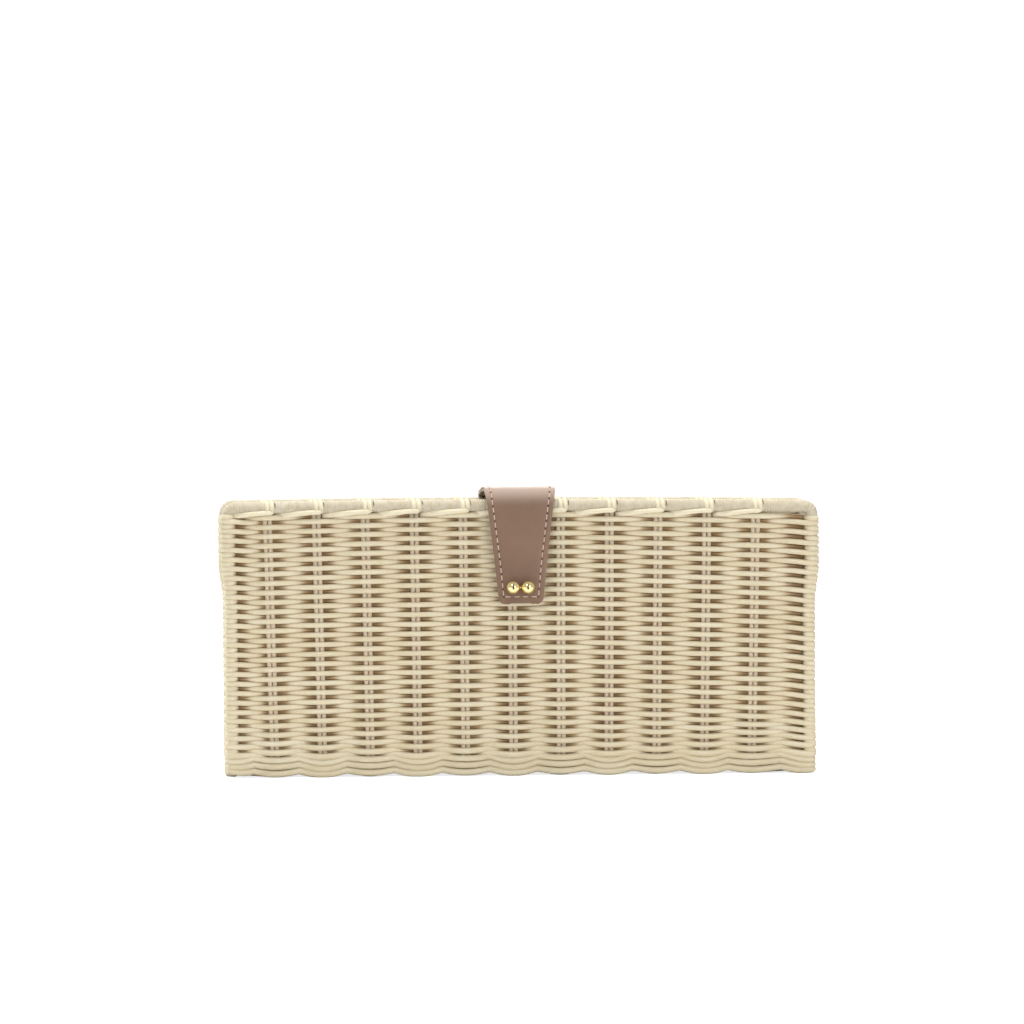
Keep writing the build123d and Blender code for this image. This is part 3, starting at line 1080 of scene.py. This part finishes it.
def stitchRuns():
    # the line of stitches as (s, x) pairs: up one side, across the tail and down, then across the tip
    low, high = strap["tipInset"], strapLength - strap["tipInset"]
    pitch = strap["stitchPitch"]
    places = []
    count = int((high - low) / pitch)
    levels = [low + (high - low) * k / count for k in range(count + 1)]
    for side in (-1, 1):
        line = [(s, side * (halfWidth(s) - strap["inset"])) for s in levels]
        places += zip(line, line[1:])
    for s in (low, high):
        half = halfWidth(s) - strap["inset"]
        count = int(2 * half / pitch)
        for k in range(count):
            places.append(tuple((s, -half + 2 * half * end / count) for end in (k, k + 1)))
    return places


def stitchPaths(depth, outward):
    paths, holes = [], []
    fill = strap["stitchLength"] / strap["stitchPitch"]
    # place along a stitch and how deep the thread lies there, in thicknesses
    profile = ((-0.5, 0.75), (-0.42, 0.1), (-0.2, -0.16), (0.2, -0.16), (0.42, 0.1), (0.5, 0.75))
    for (sa, xa), (sb, xb) in stitchRuns():
        path = []
        for share, sink in profile:
            t = 0.5 + share * fill
            lie = depth + outward * sink * strap["thread"]
            path.append(strapPoint(sa + (sb - sa) * t, xa + (xb - xa) * t, lie))
        paths.append(path)
        holes.append([
            strapPoint(sa, xa, depth - outward * 0.02 * mm), strapPoint(sa, xa, depth + outward * 0.4 * mm)
        ])
    return paths, holes


for name, depth, outward in (("Outer", 0.12 * mm, 1), ("Inner", 2 * layer - 0.12 * mm, -1)):
    paths, holes = stitchPaths(depth, outward)
    piece = strands(f"stitching{name}", paths, strap["thread"], 6)
    blendStrap(piece, threadMaterial, "lining_leather")
    # dark discs at each stitch end: painted shade for the holes, the leather itself is not pierced
    piece = strands(f"stitchHoles{name}", holes, strap["hole"])
    blendStrap(piece, holeShadeMaterial, "strap_leather")
print("strap sewn")


# metal fittings
def finishMesh(piece, angle=40):
    activate(piece)
    bpy.ops.object.transform_apply(location=True, rotation=True, scale=True)
    bpy.ops.object.shade_smooth_by_angle(angle=math.radians(angle))
    return piece


def disc(name, centre, radius, thickness, bevelWidth, dimple=0.0):
    # a round plate facing along Y with rolled edges
    bpy.ops.mesh.primitive_cylinder_add(
        vertices=64, radius=radius, depth=thickness, location=centre, rotation=(math.pi / 2, 0, 0)
    )
    piece = bpy.context.object
    piece.name = name
    bpy.ops.object.transform_apply(location=False, rotation=True, scale=True)
    if dimple:
        mode("EDIT", "DESELECT")
        mode("OBJECT")
        for face in piece.data.polygons:
            face.select = abs(face.normal.y) > 0.9
        mode("EDIT")
        bpy.ops.mesh.inset(thickness=radius * 0.3, use_individual=True)
        bpy.ops.mesh.extrude_faces_move()
        bpy.ops.transform.resize(value=(1, 1 - 2 * dimple / thickness, 1), orient_type="GLOBAL")
        mode("OBJECT")
    roundEdges(piece, bevelWidth, 4, 40)
    return finishMesh(piece)


ball = {
    "radius": 1.03 * size("left_ball_stud").x / 2,
    "shift": -0.4 * mm,
    "collarRadius": 1.9 * mm,
    "collarHeight": 0.75 * mm,
    "bridgeRadius": 0.75 * mm,
}
snap = {"edge": 0.3 * mm, "dimple": 0.25 * mm, "washer": 0.8 * mm, "shankRadius": 1 * mm}
rivet = {"head": 1.2 * mm, "headEdge": 0.55 * mm, "washer": 0.8 * mm, "shankRadius": 1.5 * mm}
for side in ("left", "right"):
    node = f"{side}_ball_stud"
    centre = middle(node)
    centre.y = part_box(node)[0].y + ball["radius"]
    centre.x += ball["shift"]
    bpy.ops.mesh.primitive_uv_sphere_add(segments=56, ring_count=28, radius=ball["radius"], location=centre)
    piece = bpy.context.object
    piece.name = f"ballStud_{side}"
    finishMesh(piece, 60)
    collarCentre = Vector((centre.x, frontFace - ball["collarHeight"] / 2, centre.z))
    collar = disc(f"collar_{side}", collarCentre, ball["collarRadius"], ball["collarHeight"], 0.2 * mm)
    join(piece, collar)
    finishPiece(piece, goldMaterial, "strap", "gold_metal", node)

bridge = middle("ball_bridge")
bridge.x += ball["shift"]
bpy.ops.mesh.primitive_cylinder_add(
    vertices=24, radius=ball["bridgeRadius"], depth=size("ball_bridge").x, location=bridge,
    rotation=(0, math.pi / 2, 0),
)
piece = bpy.context.object
piece.name = "ballBridge"
roundEdges(piece, 0.2 * mm, 3, 30)
finishPiece(finishMesh(piece), goldMaterial, "strap", "gold_metal", "ball_bridge")

plate = size("strap_magnet")
piece = disc("strapMagnet", middle("strap_magnet"), plate.x / 2, plate.y, snap["edge"], snap["dimple"])
finishPiece(piece, snapMaterial, "strap", "snap_metal", "strap_magnet")

low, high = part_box("panel_magnet")
radius = size("panel_magnet").x / 2
outerDisc = Vector((0, low.y + plate.y / 2, middle("panel_magnet").z))
piece = disc("panelMagnet", outerDisc, radius, plate.y, snap["edge"], snap["dimple"])
washerCentre = Vector((0, high.y - snap["washer"] / 2, outerDisc.z))
washer = disc("washer", washerCentre, radius, snap["washer"], 0.2 * mm)
shankLength = (washerCentre - outerDisc).y
shank = disc("shank", (outerDisc + washerCentre) / 2, snap["shankRadius"], shankLength, 0.1 * mm)
join(piece, washer, shank)
finishPiece(piece, snapMaterial, "basket", "snap_metal", "panel_magnet")

for side in ("left", "right"):
    node = f"{side}_rivet"
    low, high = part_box(node)
    centre = middle(node)
    radius = size(node).x / 2
    headCentre = Vector((centre.x, high.y - rivet["head"] / 2, centre.z))
    head = disc(f"rivet_{side}", headCentre, radius, rivet["head"], rivet["headEdge"])
    shank = disc("shank", centre, rivet["shankRadius"], size(node).y - 1 * mm, 0.1 * mm)
    innerCentre = Vector((centre.x, low.y + rivet["washer"] / 2, centre.z))
    inner = disc("inner", innerCentre, radius, rivet["washer"], 0.3 * mm)
    join(head, shank, inner)
    finishPiece(head, goldMaterial, "basket", "gold_metal", node)

# leather patch inside the back wall
low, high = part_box("inner_patch")
bpy.ops.mesh.primitive_cube_add(size=1, location=(low + high) / 2)
piece = bpy.context.object
piece.name = "innerPatch"
piece.scale = high - low
bpy.ops.object.transform_apply(location=False, rotation=False, scale=True)
mode("EDIT", "DESELECT")
mode("OBJECT")
for edge in piece.data.edges:
    a, b = (piece.data.vertices[k].co for k in edge.vertices)
    edge.select = abs(a.y - b.y) > 0.5 * layer and a.z < 0
mode("EDIT")
bpy.ops.mesh.bevel(offset=4 * mm, segments=6)
mode("OBJECT")
roundEdges(piece, 0.3 * mm, 3, 50)
finishPiece(finishMesh(piece), liningMaterial, "basket", "lining_leather", "inner_patch")
print("fittings set")


# floor, light and camera
view = {
    "distance": 5.0,
    "azimuth": -2.8,
    "elevation": 1.3,
    "lens": 358.0,
    "roll": -0.4,
    "aim": (-3.8 * mm, -panelY, 129.6 * mm),
}

bpy.ops.mesh.primitive_plane_add(size=40, location=(0, 0, 0))
floor = bpy.context.object
floor.name = "floor"
floorMaterial, tree, shader, vector = newMaterial("paleFloor")
shader.inputs["Base Color"].default_value = (0.82, 0.82, 0.82, 1)
shader.inputs["Roughness"].default_value = 0.9
shader.inputs["Emission Color"].default_value = (1, 1, 1, 1)
rays = tree.nodes.new("ShaderNodeLightPath")
glow = remap(tree, rays.outputs["Is Camera Ray"], 0, 1, 0.0, 0.8)
tree.links.new(glow, shader.inputs["Emission Strength"])
floor.data.materials.append(floorMaterial)

# the backdrop looks white to the camera but lights the bag more softly
world = bpy.data.worlds.new("softRoom")
bpy.context.scene.world = world
world.use_nodes = True
tree = world.node_tree
backdrop = tree.nodes["Background"]
rays = tree.nodes.new("ShaderNodeLightPath")
strength = remap(tree, rays.outputs["Is Camera Ray"], 0, 1, 0.56, 1.05)
tree.links.new(strength, backdrop.inputs["Strength"])
backdrop.inputs["Color"].default_value = (1, 1, 1, 1)


def softbox(name, position, target, width, power):
    light = bpy.data.lights.new(name, "AREA")
    light.shape = "RECTANGLE"
    light.size = width
    light.size_y = width * 0.7
    light.energy = power
    lamp = place(name, light)
    lamp.location = position
    lamp.rotation_euler = (target - Vector(position)).to_track_quat("-Z", "Y").to_euler()
    return lamp


target = Vector((0, 0, hoopZ / 2))
softbox("keyBox", (-0.35, -1.4, 1.25), target, 0.9, 7.0)
softbox("fillBox", (0.7, -1.6, 0.4), target, 0.8, 7.0)
topBox = softbox("topBox", (0.0, 0.04, 1.35), target, 0.7, 20.0)
topBox.visible_glossy = False
softbox("backBox", (0.0, 1.2, 0.8), target, 1.0, 7.0)
softbox("edgeBox", (-1.3, 0.7, 0.3), target, 0.7, 10.0)

# a dark upright card in front and above, seen only as the keyhole glint in the polished balls
glint = {"middle": (0.004, -0.15, 0.205), "width": 0.075, "height": 0.4, "taper": 0.4}
bpy.ops.mesh.primitive_plane_add(size=1, location=glint["middle"], rotation=(math.pi / 2, 0, 0))
card = bpy.context.object
card.name = "darkCard"
card.scale = (glint["width"], glint["height"], 1)
bpy.ops.object.transform_apply(location=False, rotation=False, scale=True)
for corner in card.data.vertices:
    if corner.co.y > 0:
        corner.co.x *= glint["taper"]
cardMaterial, tree, shader, vector = newMaterial("darkCard")
shader.inputs["Base Color"].default_value = (0.02, 0.018, 0.015, 1)
card.data.materials.append(cardMaterial)
card.visible_camera = card.visible_diffuse = card.visible_shadow = False

cameraData = bpy.data.cameras.new("camera")
cameraData.lens = view["lens"]
cameraData.sensor_width = 36
camera = place("camera", cameraData)
azimuth, elevation = math.radians(view["azimuth"]), math.radians(view["elevation"])
offset = Vector((
    math.sin(azimuth) * math.cos(elevation), -math.cos(azimuth) * math.cos(elevation), math.sin(elevation)
)) * view["distance"]
aim = Vector(view["aim"])
camera.location = aim + offset
camera.rotation_euler = (aim - camera.location).to_track_quat("-Z", "Y").to_euler()
camera.rotation_euler.rotate_axis("Z", math.radians(view["roll"]))
bpy.context.scene.camera = camera
bpy.context.scene.view_settings.view_transform = "Standard"
print("stage and camera ready")
